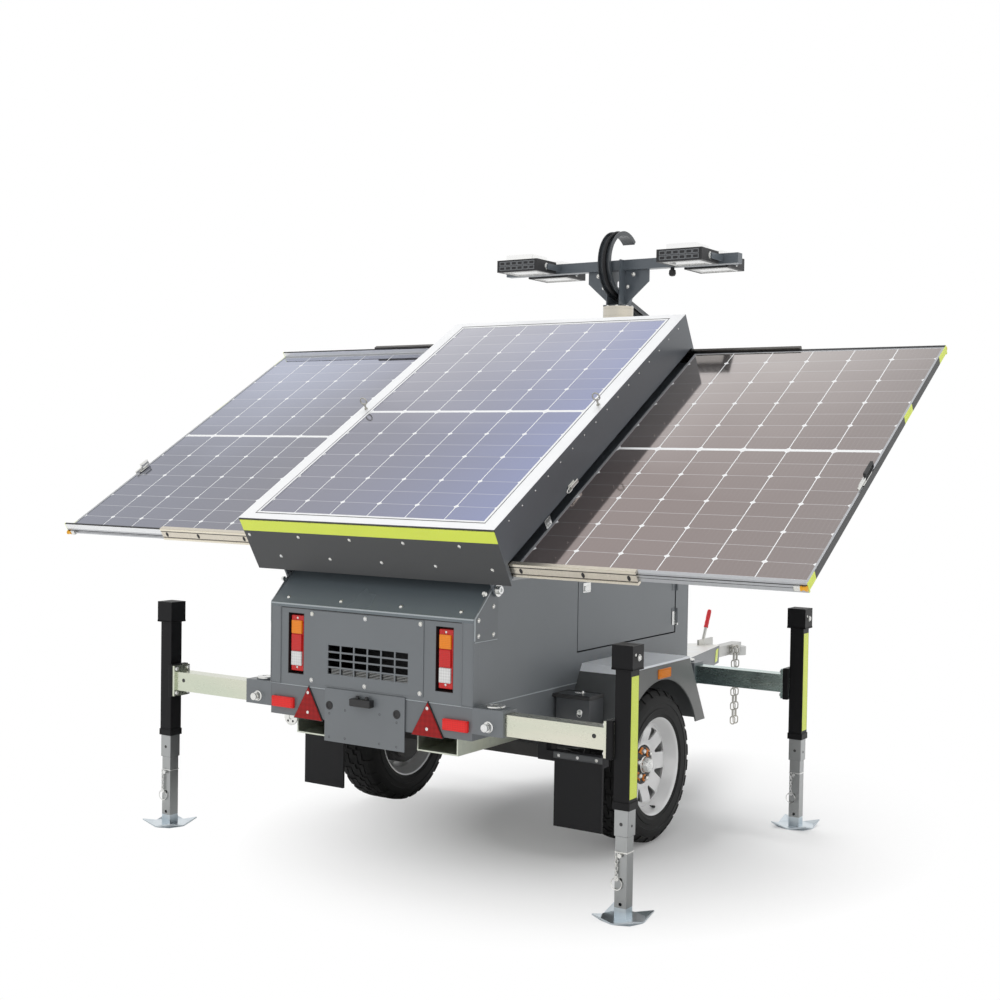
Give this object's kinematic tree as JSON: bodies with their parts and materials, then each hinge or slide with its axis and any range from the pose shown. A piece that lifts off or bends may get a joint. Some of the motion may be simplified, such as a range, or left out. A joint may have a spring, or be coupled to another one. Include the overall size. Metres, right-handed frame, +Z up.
{
  "type": "solar hybrid mobile light tower trailer",
  "caption": "Towable light tower with a telescopic mast, tilting floodlights, a tilting solar deck with side drawers and drop-leg outriggers on sliding arms.",
  "frame": {"origin": "on the ground under the middle of the whole machine", "axes": "+X the machine's right side, +Y towards the coupling, +Z up"},
  "size_m": [3.584, 3.6983, 2.785],
  "materials": {
    "cabinet_grey": "semi gloss",
    "chassis_grey": "semi gloss",
    "zinc": "zinc plated",
    "mast_silver": "anodised",
    "leg_black": "powder coat",
    "head_grey": "semi gloss",
    "module_silver": "anodised",
    "cells": "smooth",
    "wheel_silver": "gloss",
    "tyre": "matte",
    "lamp_black": "matte",
    "signal_red": "gloss",
    "rubber_black": "matte",
    "pack_dark": "matte"
  },
  "bodies": {
    "chassis": {"chassis_frame": "cabinet_grey", "fork_pockets": "zinc", "cabinet": "cabinet_grey", "power_pack": "pack_dark", "hatch": "cabinet_grey", "plate_carrier": "cabinet_grey", "tail_lamps": "signal_red", "markers": "signal_red", "axle": "leg_black", "fenders": "zinc", "mud_flaps": "rubber_black", "stow_box": "chassis_grey", "drawbar": "chassis_grey", "mast_carrier": "zinc", "coupling": "zinc", "safety_chain": "zinc", "outrigger_sockets": "cabinet_grey", "mast_base": "mast_silver", "deck_mounts": "cabinet_grey"},
    "door_right": {"door_right": "cabinet_grey"},
    "door_left": {"door_left": "cabinet_grey"},
    "wheel_right": {"tyre_right": "tyre", "rim_right": "wheel_silver"},
    "wheel_left": {"tyre_left": "tyre", "rim_left": "wheel_silver"},
    "deck": {"deck_tray": "cabinet_grey", "module_frame_centre": "module_silver", "module_glass_centre": "cells"},
    "drawer_right": {"module_frame_right": "module_silver", "module_glass_right": "cells"},
    "drawer_left": {"module_frame_left": "module_silver", "module_glass_left": "cells"},
    "slides_right": {"mid_rails_right": "zinc"},
    "slides_left": {"mid_rails_left": "zinc"},
    "ram_barrels": {"ram_barrels": "leg_black"},
    "ram_rods": {"ram_rods": "zinc"},
    "mast_stage_1": {"mast_stage_1": "mast_silver"},
    "mast_stage_2": {"mast_stage_2": "mast_silver"},
    "mast_stage_3": {"mast_stage_3": "mast_silver"},
    "mast_stage_4": {"mast_stage_4": "mast_silver", "lamp_head": "head_grey", "cable_guide": "head_grey", "mast_cable": "rubber_black"},
    "arm_rear_right": {"arm_rear_right": "zinc", "leg_tube_rear_right": "leg_black"},
    "leg_rear_right": {"leg_rear_right": "zinc"},
    "light_rear_right": {"light_rear_right": "lamp_black"},
    "arm_rear_left": {"arm_rear_left": "zinc", "leg_tube_rear_left": "leg_black"},
    "leg_rear_left": {"leg_rear_left": "zinc"},
    "light_rear_left": {"light_rear_left": "lamp_black"},
    "arm_front_right": {"arm_front_right": "zinc", "leg_tube_front_right": "leg_black"},
    "leg_front_right": {"leg_front_right": "zinc"},
    "light_front_right": {"light_front_right": "lamp_black"},
    "arm_front_left": {"arm_front_left": "zinc", "leg_tube_front_left": "leg_black"},
    "leg_front_left": {"leg_front_left": "zinc"},
    "light_front_left": {"light_front_left": "lamp_black"}
  },
  "joints": [
    {"name": "wheel_right_spin", "type": "hinge", "parent": "chassis", "child": "wheel_right", "pos_m": [0.6525, -0.736, 0.328], "axis": [1, 0, 0], "continuous": true},
    {"name": "door_right_hinge", "type": "hinge", "parent": "chassis", "child": "door_right", "pos_m": [0.509, -0.08, 0.98], "axis": [0, 0, 1], "range_deg": [0, 55]},
    {"name": "wheel_left_spin", "type": "hinge", "parent": "chassis", "child": "wheel_left", "pos_m": [-0.6525, -0.736, 0.328], "axis": [1, 0, 0], "continuous": true},
    {"name": "door_left_hinge", "type": "hinge", "parent": "chassis", "child": "door_left", "pos_m": [-0.509, -0.08, 0.98], "axis": [0, 0, -1], "range_deg": [0, 55]},
    {"name": "deck_tilt", "type": "hinge", "parent": "chassis", "child": "deck", "pos_m": [0, -1.646, 1.131], "axis": [1, 0, 0], "range_deg": [-30.8, 0]},
    {"name": "drawer_right_slide", "type": "slide", "parent": "deck", "child": "drawer_right", "axis": [-1, 0, 0], "range_m": [0, 1.163]},
    {"name": "slides_right_slide", "type": "slide", "parent": "deck", "child": "slides_right", "axis": [-1, 0, 0], "range_m": [0, 0.5815]},
    {"name": "drawer_left_slide", "type": "slide", "parent": "deck", "child": "drawer_left", "axis": [1, 0, 0], "range_m": [0, 1.163]},
    {"name": "slides_left_slide", "type": "slide", "parent": "deck", "child": "slides_left", "axis": [1, 0, 0], "range_m": [0, 0.5815]},
    {"name": "ram_swing", "type": "hinge", "parent": "chassis", "child": "ram_barrels", "pos_m": [0, 0.006, 1.185], "axis": [1, 0, 0], "range_deg": [0, 26.3]},
    {"name": "ram_stroke", "type": "slide", "parent": "ram_barrels", "child": "ram_rods", "axis": [0, -0.893, 0.45], "range_m": [-0.2667, 0]},
    {"name": "arm_rear_right_slide", "type": "slide", "parent": "chassis", "child": "arm_rear_right", "axis": [-1, 0, 0], "range_m": [0, 0.395]},
    {"name": "leg_rear_right_drop", "type": "slide", "parent": "arm_rear_right", "child": "leg_rear_right", "axis": [0, 0, 1], "range_m": [0, 0.22]},
    {"name": "arm_rear_left_slide", "type": "slide", "parent": "chassis", "child": "arm_rear_left", "axis": [1, 0, 0], "range_m": [0, 0.395]},
    {"name": "leg_rear_left_drop", "type": "slide", "parent": "arm_rear_left", "child": "leg_rear_left", "axis": [0, 0, 1], "range_m": [0, 0.22]},
    {"name": "arm_front_right_slide", "type": "slide", "parent": "chassis", "child": "arm_front_right", "axis": [-1, 0, 0], "range_m": [0, 0.395]},
    {"name": "leg_front_right_drop", "type": "slide", "parent": "arm_front_right", "child": "leg_front_right", "axis": [0, 0, 1], "range_m": [0, 0.22]},
    {"name": "arm_front_left_slide", "type": "slide", "parent": "chassis", "child": "arm_front_left", "axis": [1, 0, 0], "range_m": [0, 0.395]},
    {"name": "leg_front_left_drop", "type": "slide", "parent": "arm_front_left", "child": "leg_front_left", "axis": [0, 0, 1], "range_m": [0, 0.22]},
    {"name": "mast_stage_1_lift", "type": "slide", "parent": "chassis", "child": "mast_stage_1", "axis": [0, 0, 1], "range_m": [0, 1.35]},
    {"name": "mast_stage_2_lift", "type": "slide", "parent": "mast_stage_1", "child": "mast_stage_2", "axis": [0, 0, 1], "range_m": [0, 1.35]},
    {"name": "mast_stage_3_lift", "type": "slide", "parent": "mast_stage_2", "child": "mast_stage_3", "axis": [0, 0, 1], "range_m": [0, 1.35]},
    {"name": "mast_stage_4_lift", "type": "slide", "parent": "mast_stage_3", "child": "mast_stage_4", "axis": [0, 0, 1], "range_m": [0, 1.35]},
    {"name": "light_rear_right_tilt", "type": "hinge", "parent": "mast_stage_4", "child": "light_rear_right", "pos_m": [0.455, 0.072, 2.611], "axis": [1, 0, 0], "range_deg": [-60, 60]},
    {"name": "light_rear_left_tilt", "type": "hinge", "parent": "mast_stage_4", "child": "light_rear_left", "pos_m": [-0.455, 0.072, 2.611], "axis": [1, 0, 0], "range_deg": [-60, 60]},
    {"name": "light_front_right_tilt", "type": "hinge", "parent": "mast_stage_4", "child": "light_front_right", "pos_m": [0.455, 0.376, 2.611], "axis": [1, 0, 0], "range_deg": [-60, 60]},
    {"name": "light_front_left_tilt", "type": "hinge", "parent": "mast_stage_4", "child": "light_front_left", "pos_m": [-0.455, 0.376, 2.611], "axis": [1, 0, 0], "range_deg": [-60, 60]}
  ],
  "couplings": [
    {"joint": "slides_right_slide", "follows": "drawer_right_slide", "ratio": 0.5},
    {"joint": "slides_left_slide", "follows": "drawer_left_slide", "ratio": 0.5},
    {"joint": "ram_swing", "follows": "deck_tilt", "ratio": -0.85345},
    {"joint": "ram_stroke", "follows": "deck_tilt", "m_per_rad": 0.49594},
    {"joint": "mast_stage_2_lift", "follows": "mast_stage_1_lift", "ratio": 1},
    {"joint": "mast_stage_3_lift", "follows": "mast_stage_1_lift", "ratio": 1},
    {"joint": "mast_stage_4_lift", "follows": "mast_stage_1_lift", "ratio": 1}
  ]
}
